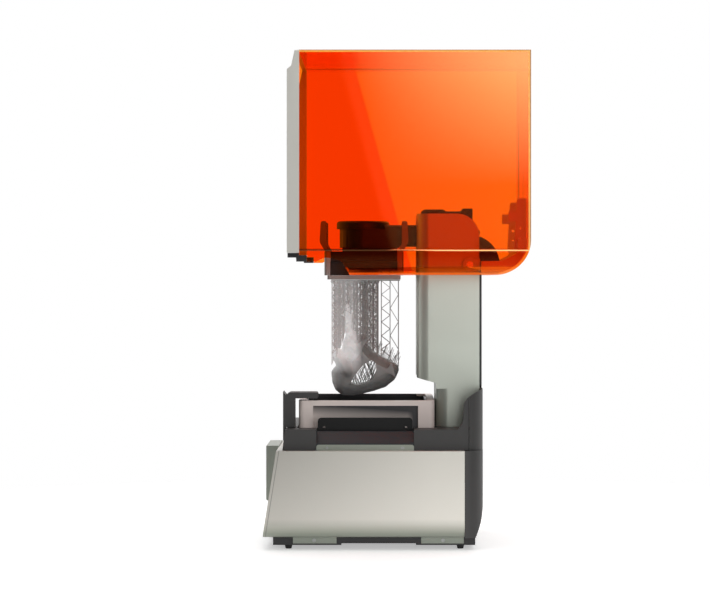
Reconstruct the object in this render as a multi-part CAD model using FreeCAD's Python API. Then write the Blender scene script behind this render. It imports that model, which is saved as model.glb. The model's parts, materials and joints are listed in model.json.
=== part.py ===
import FreeCAD, Part
import math
import os

from FreeCAD import Vector

# Resin printer with its cover swung open. Millimetres, +Z up, the front faces -Y.
# The origin is at the middle of the footprint, on the table, under the open cover.

# Outside of the machine
HALF_WIDTH = 199.0
FOOT_HEIGHT = 6.7
PANEL_BOTTOM = 20.3
PANEL_TOP = 163.7
PANEL_FOOT_FRONT = -220.5
PANEL_HEAD_FRONT = -197.6
PANEL_REAR = 111.6
REAR = 142.8
DECK_TOP = 198.0
DECK_HALF = 185.0
SHEET = 2.5

# Side tabs and feet
PLATE_OUT = 173.0
TAB_BOTTOM = 9.5
FOOT_X = 158.0
FOOT_Y = (-178.7, 105.6)
LOW_TABS = ((-171.0, -99.0), (40.5, 111.0))
LOW_SCREW_Y = (-136.0, 76.6)
LOW_SCREW_Z = 14.6
HIGH_TAB = (-132.0, 28.6)
HIGH_SCREW_Y = (-114.3, 9.8)
HIGH_SCREW_Z = 168.0

# Tower, lead screw and platform
TOWER_HALF = 107.0
TOWER_FRONT = 34.5
TOWER_LOW_FRONT = 66.3
TOWER_BACK = 139.0
TOWER_TOP = 555.5
TOWER_NOSE = 280.0
TOWER_NOSE_BACK = 271.6
TOWER_CURVE = 38.0
ARM_SLOT_HALF = 30.0
SCREW_Y = 98.0
SCREW_R = 6.0
RAIL_X = 60.0
RUN_FIT = 0.05
PLATFORM_HALF = 100.0
PLATFORM_FRONT = -121.0
PLATFORM_REAR = 12.0
PLATFORM_BOTTOM = 445.0
PLATFORM_TOP = 492.0
KNOB_Y = -57.0
LUG_X, LUG_HALF = 65.0, 15.0
ARM_BOTTOM = 501.0
ARM_TOP = 538.0

# Resin tank and its mixer
TANK_HALF = 130.0
TANK_FRONT = -163.0
TANK_REAR = 63.5
TANK_BOTTOM = 194.0
TANK_TOP = 243.3
CAVITY_HALF = 119.0
CAVITY_FRONT = -152.0
CAVITY_REAR = 51.5
FILM_Z = 196.0
PADDLE_X = 109.0
BELT_Y = -175.0
PULLEY_X = 135.0
PULLEY_R = 4.0
GUIDE_R = 3.0
GUIDE_Z = 174.0
GUIDE_END = 125.0
BELT_LOW = 187.3
BELT_HIGH = 192.8

# Cover, modelled closed and then swung open about its hinge
HINGE_Y = 122.8
HINGE_Z = 469.6
COVER_FRONT = -229.9
COVER_REAR = 140.0
COVER_BOTTOM = 187.0
COVER_TOP = 567.3
COVER_WALL = 4.0
COVER_CORNER = 41.0
COVER_CURVE = 58.0
SKIRT_BOTTOM = 166.6
SKIRT_END = 103.6
SLOT_HALF = 116.0
CAP_TOP = 199.7

PLANES = {
    "xy": lambda u, v, w: Vector(u, v, w),
    "xz": lambda u, v, w: Vector(u, w, v),
    "yz": lambda u, v, w: Vector(w, u, v),
}
NORMALS = {"xy": Vector(0, 0, 1), "xz": Vector(0, 1, 0), "yz": Vector(1, 0, 0)}

nodes = {}


def box(x, y, z):
    """Box between the pairs x, y and z."""
    size = [abs(pair[1] - pair[0]) for pair in (x, y, z)]
    return Part.makeBox(*size, Vector(min(x), min(y), min(z)))


def rod(radius, start, end):
    """Round bar between two points."""
    start = Vector(*start)
    way = Vector(*end) - start
    return Part.makeCylinder(radius, way.Length, start, way)


def prism(plane, corners, low, high):
    """Outline of (u, v) or (u, v, radius) corners in a plane, pushed from low to high."""
    place = PLANES[plane]
    count = len(corners)
    flat = [Vector(corner[0], corner[1], 0) for corner in corners]
    spans = []
    for index, corner in enumerate(corners):
        radius = corner[2] if len(corner) == 3 else 0
        here = flat[index]
        back = (flat[index - 1] - here).normalize()
        ahead = (flat[(index + 1) % count] - here).normalize()
        if not radius:
            spans.append((here, None, here))
            continue
        half = back.getAngle(ahead) / 2
        reach = radius / math.tan(half)
        toward = (back + ahead).normalize()
        middle = here + toward * (radius / math.sin(half) - radius)
        spans.append((here + back * reach, middle, here + ahead * reach))
    edges = []
    for index, (start, middle, end) in enumerate(spans):
        start3, end3 = place(start.x, start.y, low), place(end.x, end.y, low)
        if middle is not None:
            middle3 = place(middle.x, middle.y, low)
            edges.append(Part.Arc(start3, middle3, end3).toShape())
        following = spans[(index + 1) % count][0]
        next3 = place(following.x, following.y, low)
        if (next3 - end3).Length > 1e-6:
            edges.append(Part.makeLine(end3, next3))
    face = Part.Face(Part.Wire(edges))
    return face.extrude(NORMALS[plane] * (high - low))


def slab(x, y, z, radius, axis="xy"):
    """Box with four rounded edges that run across the named plane."""
    pairs = {"xy": (x, y, z), "xz": (x, z, y), "yz": (y, z, x)}[axis]
    (u0, u1), (v0, v1), (w0, w1) = pairs
    corners = [(u0, v0, radius), (u1, v0, radius), (u1, v1, radius), (u0, v1, radius)]
    return prism(axis, corners, w0, w1)


def join(shapes):
    """One solid from shapes that share faces or volume."""
    whole = shapes[0]
    for shape in shapes[1:]:
        whole = whole.fuse(shape)
    return whole.removeSplitter()


def mirrored(shape):
    """The same shape on the other side of the machine."""
    return shape.mirror(Vector(0, 0, 0), Vector(1, 0, 0))


def both(shape):
    """A shape and its mirror image."""
    return [shape, mirrored(shape)]


def swung_open(shape):
    """A piece of the closed cover, turned to where it stands when the cover is open."""
    turned = shape.copy()
    turned.rotate(Vector(0, HINGE_Y, HINGE_Z), Vector(1, 0, 0), -90)
    return turned


def keep(name, shapes):
    """Record a node made of one solid or a list of solids."""
    shapes = shapes if isinstance(shapes, list) else [shapes]
    nodes[name] = [solid for shape in shapes for solid in shape.Solids]


def socket_screw(head, shank, length, depth, point, way):
    """Flat-headed screw with a round drive recess, its head face at the point."""
    point, way = Vector(*point), Vector(*way)
    body = Part.makeCylinder(head, depth, point, way)
    stem = Part.makeCylinder(shank, length, point, way)
    drive = Part.makeCylinder(head * 0.45, depth * 0.6, point, way)
    return join([body, stem]).cut(drive)


def screw_seat(head, shank, length, depth, point, way):
    """The hole that such a screw sits in."""
    room = 0.1
    return socket_hole(head + room, shank + room, length + 1, depth, point, way)


def socket_hole(head, shank, length, depth, point, way):
    """Stepped hole: a wide mouth at the point and a narrow run behind it."""
    point, way = Vector(*point), Vector(*way)
    mouth = Part.makeCylinder(head, depth + 1, point - way, way)
    return mouth.fuse(Part.makeCylinder(shank, length, point, way))


# ---- base ----------------------------------------------------------------

def base_pan():
    outer = box((-170.5, 170.5), (-204, 130), (FOOT_HEIGHT, 19.8))
    hollow = box((-168.5, 168.5), (-202, 128), (11.5, 21))
    arch = box((-171, 171), (-91, 32), (0, TAB_BOTTOM))
    keep("base_pan", outer.cut(hollow).cut(arch))


def rubber_feet():
    top, tip = 6.5, 5.0
    feet = []
    for x in (-FOOT_X, FOOT_X):
        for y in FOOT_Y:
            feet.append(Part.makeCone(tip, top, FOOT_HEIGHT, Vector(x, y, 0)))
    keep("rubber_feet", feet)


LOW_SCREW = (3.2, 1.6, 2.4, 1.2)
HIGH_SCREW = (2.2, 1.2, 6.0, 0.9)


def low_screw_points():
    return [(side * PLATE_OUT, y, LOW_SCREW_Z, side) for side in (1, -1) for y in LOW_SCREW_Y]


def high_screw_points():
    out = DECK_HALF + 2.3
    return [(side * out, y, HIGH_SCREW_Z, side) for side in (1, -1) for y in HIGH_SCREW_Y]


def chassis_frame():
    """Two folded side plates with screw tabs, tied by low cross rails."""
    plate = box((PLATE_OUT - 2, PLATE_OUT), (-196, 110), (20, 158))
    window = slab((PLATE_OUT - 3, PLATE_OUT + 1), (-150, 70), (50, 130), 12, "yz")
    slope = prism("yz", [(-230, 0), (-192, 0), (-174, 170), (-230, 170)], 160, 180)
    side = plate.cut(window).cut(slope)
    for low, high in LOW_TABS:
        side = side.fuse(box((PLATE_OUT - 2, PLATE_OUT), (low, high), (TAB_BOTTOM, 20.5)))
    rails = []
    for y in (-160, 104):
        rails.append(box((-PLATE_OUT + 1, PLATE_OUT - 1), (y, y + 6), (20.2, 25)))
    frame = join(both(side) + rails)
    for x, y, z, side in low_screw_points():
        frame = frame.cut(screw_seat(*LOW_SCREW, (x, y, z), (-side, 0, 0)))
    keep("chassis_frame", frame)


def side_panels():
    """Bent sheet panels: flat flank, rolled bottom, leaning front return, screw tab on top."""
    roll = 23.7
    inner = HALF_WIDTH - roll
    flank = [
        (inner, PANEL_TOP),
        (HALF_WIDTH, PANEL_TOP, 1.2),
        (HALF_WIDTH, PANEL_BOTTOM, roll - 0.2),
        (inner, PANEL_BOTTOM),
    ]
    hollow = [
        (inner - 5, PANEL_TOP - SHEET),
        (HALF_WIDTH - SHEET, PANEL_TOP - SHEET),
        (HALF_WIDTH - SHEET, PANEL_BOTTOM + SHEET, roll - SHEET - 0.2),
        (inner - 5, PANEL_BOTTOM + SHEET),
    ]
    outline = [
        (PANEL_FOOT_FRONT, PANEL_BOTTOM),
        (PANEL_HEAD_FRONT, PANEL_TOP),
        (PANEL_REAR, PANEL_TOP),
        (PANEL_REAR, PANEL_BOTTOM),
    ]
    room = [
        (PANEL_FOOT_FRONT + SHEET, PANEL_BOTTOM),
        (PANEL_HEAD_FRONT + SHEET, PANEL_TOP),
        (PANEL_REAR + 1, PANEL_TOP),
        (PANEL_REAR + 1, PANEL_BOTTOM),
    ]
    skin = prism("xz", flank, -230, 120).common(prism("yz", outline, 150, 210))
    inside = prism("xz", hollow, -230, 120).common(prism("yz", room, 150, 210))
    tab_corners = [
        (HIGH_TAB[0], PANEL_TOP - 1),
        (HIGH_TAB[0], 173.3, 4),
        (HIGH_TAB[1], 173.3, 4),
        (HIGH_TAB[1], PANEL_TOP - 1),
    ]
    tab = prism("yz", tab_corners, DECK_HALF + 0.3, DECK_HALF + 2.3)
    panel = join([skin.cut(inside), tab])
    for x, y, z, side in high_screw_points():
        if side > 0:
            panel = panel.cut(screw_seat(*HIGH_SCREW, (x, y, z), (-1, 0, 0)))
    keep("side_panel_right", panel)
    keep("side_panel_left", mirrored(panel))


def panel_screws():
    screws = []
    for x, y, z, side in low_screw_points():
        screws.append(socket_screw(*LOW_SCREW, (x, y, z), (-side, 0, 0)))
    for x, y, z, side in high_screw_points():
        screws.append(socket_screw(*HIGH_SCREW, (x, y, z), (-side, 0, 0)))
    keep("panel_screws", screws)


def front_panel():
    outline = [
        (PANEL_FOOT_FRONT, PANEL_BOTTOM),
        (PANEL_HEAD_FRONT, PANEL_TOP),
        (PANEL_HEAD_FRONT + 12, PANEL_TOP),
        (PANEL_HEAD_FRONT + 12, PANEL_TOP - SHEET),
        (PANEL_HEAD_FRONT + SHEET, PANEL_TOP - SHEET),
        (PANEL_FOOT_FRONT + SHEET, PANEL_BOTTOM),
    ]
    keep("front_panel", prism("yz", outline, -174.9, 174.9))


def front_screen():
    half = 75.0
    outline = [
        (-219.7, 72, 3),
        (-219.7, 164.5, 1),
        (PANEL_HEAD_FRONT - 0.4, 164.5),
        (PANEL_HEAD_FRONT - 0.4, PANEL_TOP - 1),
        (-212.5, 72),
    ]
    housing = prism("yz", outline, -half, half)
    pocket = slab((-60, 60), (-221, -217.7), (88, 152), 4, "xz")
    keep("screen_housing", housing.cut(pocket))
    keep("touch_screen", slab((-59.7, 59.7), (-219.6, -217.8), (88.3, 151.7), 3.8, "xz"))


RECESS = (-132.0, 28.6)


def deck_tray():
    """Dark moulded deck: side skirts, a well for the tank, sloped side ledges, raised rear wings."""
    wall = 3.0
    top = DECK_TOP
    outer = prism("yz", [(-188, 164), (-183.5, top, 3), (119.2, top), (119.2, 164)], -DECK_HALF, DECK_HALF)
    under = box((-DECK_HALF + wall, DECK_HALF - wall), (-181, 116.2), (160, top - wall))
    deck = outer.cut(under).cut(box((-132.5, 132.5), (-166, 65.2), (190, 200)))
    well = box((-135.5, 135.5), (-169, 68.2), (180, top - wall))
    well = well.cut(box((-132.5, 132.5), (-166, 65.2), (183, 200)))
    lens_hole = box((-108, 108), (-133, 33), (170, 190))
    ledge = [(135, 194), (163, 194), (DECK_HALF, 175), (DECK_HALF, 172), (163, 191), (135, 191)]
    cut_corners = [(135, 194), (163, 194), (DECK_HALF + 1, 174.2), (DECK_HALF + 1, 200), (135, 200)]
    end_corners = [(135, top), (DECK_HALF, top), (DECK_HALF, 172), (163, 191), (135, 191)]
    wing_corners = [
        (92, top - 1),
        (101, top, 2),
        (109, 210, 8),
        (111.5, 243, 12),
        (119.2, 252),
        (119.2, top - 1),
    ]
    rod_block = box((GUIDE_END - 3.5, GUIDE_END + 0.5), (-182, -169), (168, 182))
    pulley_shelf = box((GUIDE_END - 3.5, 146.5), (-182, -169), (181, 183))
    pieces = [well] + both(rod_block) + both(pulley_shelf)
    recess_cuts = []
    low, high = RECESS
    for side in (1, -1):
        parts = [
            prism("xz", ledge, low, high),
            prism("xz", end_corners, low - wall, low),
            prism("xz", end_corners, high, high + wall),
            prism("yz", wing_corners, DECK_HALF - 9, DECK_HALF),
        ]
        hollow = prism("xz", cut_corners, low, high)
        pieces += parts if side > 0 else [mirrored(part) for part in parts]
        recess_cuts.append(hollow if side > 0 else mirrored(hollow))
    for cut in recess_cuts:
        deck = deck.cut(cut)
    deck = join([deck] + pieces).cut(lens_hole)
    tower_hole = box((-100, 100), (74, 125), (160, 205))
    motor_shaft = rod(2.2, (-PULLEY_X, BELT_Y, 178), (-PULLEY_X, BELT_Y, 186))
    rod_hole = rod(GUIDE_R + 0.02, (-160, BELT_Y, GUIDE_Z), (160, BELT_Y, GUIDE_Z))
    deck = deck.cut(tower_hole).cut(motor_shaft).cut(rod_hole)
    for x, y, z, side in high_screw_points():
        deck = deck.cut(rod(1.3, (x, y, z), (x - side * 8, y, z)))
    keep("deck_tray", deck)


def lcd_panel():
    """Masking screen under its glass, the film of the tank lies on it."""
    glass = slab((-117, 117), (-142, 42), (183.3, FILM_Z - 0.4), 4)
    keep("lcd_panel", glass)


def tank_brackets():
    """Black spring plates on the side ledges that locate the tank."""
    low, high = -130.5, 26.5
    corners = [(low, 194.2), (low, 216, 6), (high, 216, 6), (high, 194.2)]
    plate = prism("yz", corners, 150, 153)
    foot = box((139, 150.5), (low + 6, high - 6), (194.2, 196.2))
    lips = [box((146, 150.5), (y, y + 20), (199, 201)) for y in (-118, -6)]
    bracket = join([plate, foot] + lips)
    for y in (low + 11, high - 11):
        bracket = bracket.cut(rod(2.4, (149, y, 199.5), (154, y, 199.5)))
    keep("tank_brackets", both(bracket))


def guide_rod():
    """Rod that the mixer's drive carriage runs on, inside the deck's front edge."""
    keep("guide_rod", rod(GUIDE_R, (-GUIDE_END, BELT_Y, GUIDE_Z), (GUIDE_END, BELT_Y, GUIDE_Z)))


# ---- rear shell ----------------------------------------------------------

def rear_outline(half, inset):
    """Plan of the rear shell: two flanks and a back wall with round corners."""
    round_in = 36.0 - inset
    return [
        (-half + inset, 100),
        (half - inset, 100),
        (half - inset, REAR - inset, round_in),
        (-half + inset, REAR - inset, round_in),
    ]


def rear_cover():
    wall = 3.0
    high_half, low_half = 190.0, 196.5
    low = prism("xy", rear_outline(low_half, 0), PANEL_BOTTOM, PANEL_TOP - 0.2)
    low = low.cut(prism("xy", rear_outline(low_half, wall), PANEL_BOTTOM - 1, PANEL_TOP - wall))
    low = low.cut(box((-250, 250), (90, PANEL_REAR + 0.4), (0, 170)))
    high = prism("xy", rear_outline(high_half, 0), PANEL_TOP - wall, 264.2)
    high = high.cut(prism("xy", rear_outline(high_half, wall), 150, 270))
    high = high.cut(box((-250, 250), (90, 119.5), (150, 270)))
    shell = join([low, high])
    shell = shell.cut(prism("xy", rear_outline(high_half, wall), 150, 170))
    brow = [
        (110, 252),
        (119.5, 252, 3),
        (128.2, 258, 12),
        (REAR + 0.5, 264.6),
        (REAR + 0.5, 280),
        (110, 280),
    ]
    shell = shell.cut(prism("yz", brow, -250, 250))
    bend, curve = (139.4, 44), 110
    belly = [(REAR + 1, 10), (128, 10), (130, 20), (*bend, curve), (REAR, 70), (REAR + 1, 70)]
    shell = shell.cut(prism("yz", belly, -250, 250))
    liner = [
        (130, 20.5),
        (*bend, curve),
        (REAR, 70),
        (REAR - wall, 72),
        (bend[0] - wall, 44, curve),
        (127, 20.5),
    ]
    shell = join([shell, prism("yz", liner, -161, 161)])
    shell = shell.cut(slab((-150, 150), (130, 150), (66, 160), 8, "xz"))
    keep("rear_cover", shell)


FAN_X, FAN_Z, FAN_HALF = -122.0, 112.0, 30.0
INLET_X, SWITCH_X, PORT_Z = 122.0, 90.0, 86.0


def rear_panel():
    """Inset panel with the air grille, the mains inlet and the switch."""
    panel = slab((-149.7, 149.7), (136.8, 139.6), (66.3, 159.7), 7.7, "xz")
    for step in range(11):
        z = FAN_Z - 25 + step * 5
        reach = math.sqrt(28.0 ** 2 - (z - FAN_Z) ** 2)
        panel = panel.cut(slab((FAN_X - reach, FAN_X + reach), (135, 141), (z - 1.2, z + 1.2), 1.1, "xz"))
    for step in range(9):
        x = -44 + step * 11
        panel = panel.cut(slab((x - 3.2, x + 3.2), (135, 141), (86, 140), 3.1, "xz"))
    panel = panel.cut(box((INLET_X - 13.8, INLET_X + 13.8), (135, 141), (PORT_Z - 10, PORT_Z + 10)))
    panel = panel.cut(box((SWITCH_X - 8.2, SWITCH_X + 8.2), (135, 141), (PORT_Z - 12, PORT_Z + 12)))
    keep("rear_panel", panel)


# ---- tower ---------------------------------------------------------------

def tower_plan(front, inset):
    round_front = 20.0 - inset
    half = TOWER_HALF - inset
    return [
        (-half, front + inset, round_front),
        (half, front + inset, round_front),
        (half, TOWER_BACK + 1),
        (-half, TOWER_BACK + 1),
    ]


def tower_form(inset, bottom, back):
    """Column with a deeper upper part; inset shrinks it to its inside."""
    top = TOWER_TOP - inset
    upper = prism("xy", tower_plan(TOWER_FRONT, inset), 250, top)
    lower = prism("xy", tower_plan(TOWER_LOW_FRONT, inset), bottom, 300)
    side = [
        (TOWER_FRONT - 5, TOWER_NOSE + inset + 1.4),
        (TOWER_FRONT - 5, top + 5),
        (TOWER_FRONT, top + 5),
        (TOWER_FRONT, top),
        (TOWER_BACK - inset, top, TOWER_CURVE - inset),
        (TOWER_BACK - inset, 516),
        (back, 515),
        (back, 262),
        (TOWER_LOW_FRONT + inset, TOWER_NOSE_BACK - 9.6),
        (TOWER_LOW_FRONT + inset, TOWER_NOSE_BACK + inset),
    ]
    upper = upper.common(prism("yz", side, -150, 150))
    lower = lower.common(box((-150, 150), (0, back), (bottom, 290)))
    return upper.fuse(lower)


def tower_shell():
    outer = tower_form(0, DECK_TOP + 0.3, TOWER_BACK + 0.01)
    inner = tower_form(3.0, 170, TOWER_BACK + 4)
    slot = slab((-ARM_SLOT_HALF, ARM_SLOT_HALF), (30, 76), (246, 547), 3, "xz")
    shell = outer.cut(inner).cut(slot)
    for side in (1, -1):
        shell = shell.cut(rod(6.2, (side * 100, HINGE_Y, HINGE_Z), (side * 110, HINGE_Y, HINGE_Z)))
    keep("tower_shell", shell)


def tower_back():
    plate = slab((-TOWER_HALF, TOWER_HALF), (TOWER_BACK + 0.3, REAR), (264.8, 516.5), 3, "xz")
    for step in range(8):
        z = 300 + step * 9
        plate = plate.cut(slab((-50, 50), (138, 144), (z, z + 4), 1.9, "xz"))
    keep("tower_rear_plate", plate)


def tower_cap():
    """Black lid on the tower that wraps down its rounded back."""
    centre = (TOWER_BACK - TOWER_CURVE, TOWER_TOP - TOWER_CURVE)
    form = [
        (42, 555.8),
        (42, 559.5, 2),
        (47, 562.8, 3),
        (79, 562.8, 1.5),
        (83, 559.6),
        (109, 559.6),
        (111.5, 564.4, 1),
        (128.2, 564.4, 1.5),
        (128.2, 541.7),
        (140.6, 526, 1.5),
        (139.8, 519),
        (101, 519),
        (101, 555.8),
    ]
    curve = Part.makeCylinder(TOWER_CURVE + 0.3, 2 * 90, Vector(-90, *centre), Vector(1, 0, 0))
    keep("tower_cap", prism("yz", form, -88, 88).cut(curve))


def tower_frame():
    """Backbone plate that carries the rails, the motor shelf, the screw bearings and the hinge."""
    spine = box((-84, 84), (126, 134), (66, 526))
    legs = [box((x, x + 44), (118, 126.5), (11.6, 90)) for x in (-84, 40)]
    top_foot = join([box((-20, 20), (113.2, 124), (500, 543)), box((-20, 20), (123, 127), (500, 526))])
    shelf = box((-40, 40), (70.8, 127), (158.2, 163.2))
    shelf = shelf.cut(rod(11.3, (0, SCREW_Y, 150), (0, SCREW_Y, 170)))
    cheeks = [box((x, x + 8), (108, 127), (448, 492)) for x in (-92, 84)]
    arms = [box((x, x + 8), (126, 134), (448, 492)) for x in (-92, 84)]
    frame = join([spine, shelf, top_foot] + legs + cheeks + arms)
    for side in (1, -1):
        frame = frame.cut(rod(6.02, (side * 83, HINGE_Y, HINGE_Z), (side * 93, HINGE_Y, HINGE_Z)))
        for z in (250, 340, 430):
            frame = frame.cut(slab((side * 20 - 12, side * 20 + 12), (120, 140), (z, z + 50), 8, "xz"))
    keep("tower_frame", frame)


def hinge_pins():
    keep("hinge_pins", both(rod(6.0, (84, HINGE_Y, HINGE_Z), (115.6, HINGE_Y, HINGE_Z))))


def z_drive():
    rail = box((RAIL_X - 7.5, RAIL_X + 7.5), (113, 125.7), (190, 540))
    for side in (1, -1):
        rail = rail.cut(box((RAIL_X + side * 6, RAIL_X + side * 9), (116, 119), (180, 540)))
    keep("linear_rails", both(rail))
    motor = slab((-28, 28), (SCREW_Y - 27, SCREW_Y + 27), (98, 158), 4)
    boss = rod(11, (0, SCREW_Y, 157), (0, SCREW_Y, 160.5))
    flange = rod(3.4, (0, SCREW_Y, 150), (0, SCREW_Y, 162))
    keep("z_motor", join([motor, boss]).cut(flange))
    shaft_top = 171.0
    coupling = rod(10.5, (0, SCREW_Y, 164.5), (0, SCREW_Y, 188))
    for z in (170, 175, 180):
        ring = rod(12, (0, SCREW_Y, z), (0, SCREW_Y, z + 1.2))
        coupling = coupling.cut(ring.cut(rod(8.5, (0, SCREW_Y, z - 1), (0, SCREW_Y, z + 3))))
    stub = rod(3.3, (0, SCREW_Y, 151), (0, SCREW_Y, 165))
    coupling = join([coupling, stub]).cut(rod(SCREW_R, (0, SCREW_Y, shaft_top), (0, SCREW_Y, 200)))
    keep("motor_coupling", coupling)
    screw = rod(SCREW_R, (0, SCREW_Y, shaft_top), (0, SCREW_Y, 549.5))
    for z in range(232, 541, 8):
        groove = rod(SCREW_R + 1, (0, SCREW_Y, z), (0, SCREW_Y, z + 2.4))
        groove = groove.cut(rod(SCREW_R - 0.6, (0, SCREW_Y, z - 1), (0, SCREW_Y, z + 4)))
        screw = screw.cut(groove)
    keep("lead_screw", screw)
    low_block = slab((-22, 22), (SCREW_Y - 16, 125.7), (190, 204), 3)
    high_block = slab((-22, 22), (SCREW_Y - 16, 116), (546.3, 548.9), 3)
    high_block = join([high_block, box((-18, 18), (113.2, 116), (543.2, 547))])
    hole = rod(SCREW_R + RUN_FIT, (0, SCREW_Y, 180), (0, SCREW_Y, 560))
    keep("screw_bearings", [low_block.cut(hole), high_block.cut(hole)])


def z_stage():
    low, high = 487.0, 541.0
    block = box((-78, 78), (84, 112.6), (low, high))
    block = block.cut(rod(11.2, (0, SCREW_Y, low - 1), (0, SCREW_Y, high + 1)))
    rests = []
    for x in (-RAIL_X, RAIL_X):
        for side in (1, -1):
            rests.append(box((x + side * 8, x + side * 16), (112, 122), (low + 2, high - 2)))
    keep("z_carriage", join([block] + rests))
    nut = rod(11, (0, SCREW_Y, low + 1), (0, SCREW_Y, high - 1))
    keep("lead_nut", nut.cut(rod(SCREW_R + RUN_FIT, (0, SCREW_Y, 480), (0, SCREW_Y, 550))))


def platform_arm():
    """Cast arm from the carriage to the round head that holds the platform."""
    knob_room = Part.makeCylinder(46, 40, Vector(0, KNOB_Y, ARM_TOP - 7))
    beam = slab((-27, 27), (-20, 83.8), (ARM_BOTTOM, ARM_TOP), 5, "xz").cut(knob_room)
    head = Part.makeCylinder(41, ARM_TOP - 7 - 499, Vector(0, KNOB_Y + 1, 499))
    neck = box((-41, 41), (KNOB_Y, 5), (499, ARM_TOP - 7))
    stem = box((-30, 30), (-92, 2), (488, 500))
    foot = box((-36, 36), (-92, 2), (482, 488.2))
    arm = join([beam, head, neck, stem, foot])
    keep("arm", arm.cut(rod(9.1, (0, KNOB_Y, 510), (0, KNOB_Y, 545))))


def lock_knob():
    """Turning cap on the arm's head that locks the platform."""
    cap = Part.makeCylinder(45, 13.5, Vector(0, KNOB_Y, ARM_TOP - 6.7))
    rim = [edge for edge in cap.Edges if abs(edge.BoundBox.ZMin - (ARM_TOP + 6.8)) < 0.1]
    cap = cap.makeFillet(5, rim)
    cap = cap.cut(slab((-5, 5), (KNOB_Y - 34, KNOB_Y + 34), (ARM_TOP + 3.5, 560), 4))
    shaft = rod(9, (0, KNOB_Y, 512), (0, KNOB_Y, ARM_TOP - 6))
    keep("lock_knob", join([cap, shaft]))


def platform():
    front, rear = PLATFORM_FRONT, PLATFORM_REAR
    half = PLATFORM_HALF
    outer = slab((-half, half), (front, rear), (452, PLATFORM_TOP), 4)
    hollow = box((-half - 1, half + 1), (front + 10, rear - 10), (451, 475))
    channel = box((-30.5, 30.5), (front + 28, rear + 1), (480, 500))
    undercut = box((-36.5, 36.5), (front + 28, rear + 1), (481.5, 488.7))
    body = outer.cut(hollow).cut(channel).cut(undercut)
    for x in (-LUG_X, LUG_X):
        room = box((x - LUG_HALF - 0.4, x + LUG_HALF + 0.4), (front - 1, front + 14), (482.5, 500))
        pin_hole = rod(2.0 + RUN_FIT, (x - 19, front + 8, 487), (x + 19, front + 8, 487))
        for cut in (room, pin_hole):
            body = body.cut(cut).cut(cut.mirror(Vector(0, (front + rear) / 2, 0), Vector(0, 1, 0)))
    keep("platform_body", body)
    web = box((76, 80), (front + 10.3, rear - 10.3), (452, 474.7))
    keep("platform_webs", both(web))
    plate = slab((-half, half), (front + 5, rear - 5), (PLATFORM_BOTTOM, 451.7), 3)
    keep("platform_plate", plate)


def flex_handles():
    """Curved squeeze handles at the platform's front and rear that bend its plate."""
    handle = [
        (-110.6, 484.5, 1),
        (-110.6, 492, 2),
        (-118.5, 506, 10),
        (-118.5, 543.5, 2),
        (-127.5, 543.5, 4),
        (-129.6, 508, 16),
        (-115.6, 484.5, 1),
    ]
    grip = prism("yz", handle, LUG_X - LUG_HALF, LUG_X + LUG_HALF)
    pin_y = PLATFORM_FRONT + 8
    pin = rod(2, (LUG_X - LUG_HALF - 3, pin_y, 487), (LUG_X + LUG_HALF + 3, pin_y, 487))
    lugs = both(join([grip, pin]))
    middle = Vector(0, (PLATFORM_FRONT + PLATFORM_REAR) / 2, 0)
    keep("flex_handle_front", lugs)
    keep("flex_handle_rear", [lug.mirror(middle, Vector(0, 1, 0)) for lug in lugs])


def printed_part():
    """A finished print that hangs under the platform on its support posts."""
    outline = [
        (-88, 392, 4),
        (-62, 392, 4),
        (-58, 350, 8),
        (-30, 316, 10),
        (3, 300, 3),
        (2, 276, 8),
        (-22, 260, 10),
        (-62, 250, 20),
        (-104, 245.5, 14),
        (-111, 300, 20),
    ]
    keep("print_model", prism("yz", outline, -46, 46))
    posts = []
    for x in range(-75, 76, 25):
        for y in (-104, -76, -48, -20, 2):
            foot = {-104: 332, -76: 394, -48: 344, -20: 322, 2: 322}[y]
            posts.append(rod(0.9, (x, y, foot), (x, y, PLATFORM_BOTTOM - 2.3)))
    raft = box((-80, 80), (-110, 6), (PLATFORM_BOTTOM - 2.3, PLATFORM_BOTTOM - 0.1))
    keep("print_supports", join([raft] + posts))


# ---- tank and mixer ------------------------------------------------------

def tank():
    outer = slab((-TANK_HALF, TANK_HALF), (TANK_FRONT, TANK_REAR), (TANK_BOTTOM, TANK_TOP), 10)
    cavity = slab((-CAVITY_HALF, CAVITY_HALF), (CAVITY_FRONT, CAVITY_REAR), (190, 250), 6)
    body = outer.cut(cavity)
    for side in (1, -1):
        pocket = box((123, 131), (-139, 36), (190, 234.5))
        body = body.cut(pocket if side > 0 else mirrored(pocket))
    keep("tank_body", body)
    gap = 0.3
    skin = slab((-CAVITY_HALF + gap, CAVITY_HALF - gap), (CAVITY_FRONT + gap, CAVITY_REAR - gap),
                (FILM_Z + 0.5, TANK_TOP - 4), 5.7)
    room = slab((-CAVITY_HALF + 3.3, CAVITY_HALF - 3.3), (CAVITY_FRONT + 3.3, CAVITY_REAR - 3.3),
                (190, 250), 3)
    keep("film_frame", skin.cut(room))
    film = slab((-CAVITY_HALF + gap, CAVITY_HALF - gap), (CAVITY_FRONT + gap, CAVITY_REAR - gap),
                (FILM_Z, FILM_Z + 0.4), 5.7)
    keep("tank_film", film)


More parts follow.
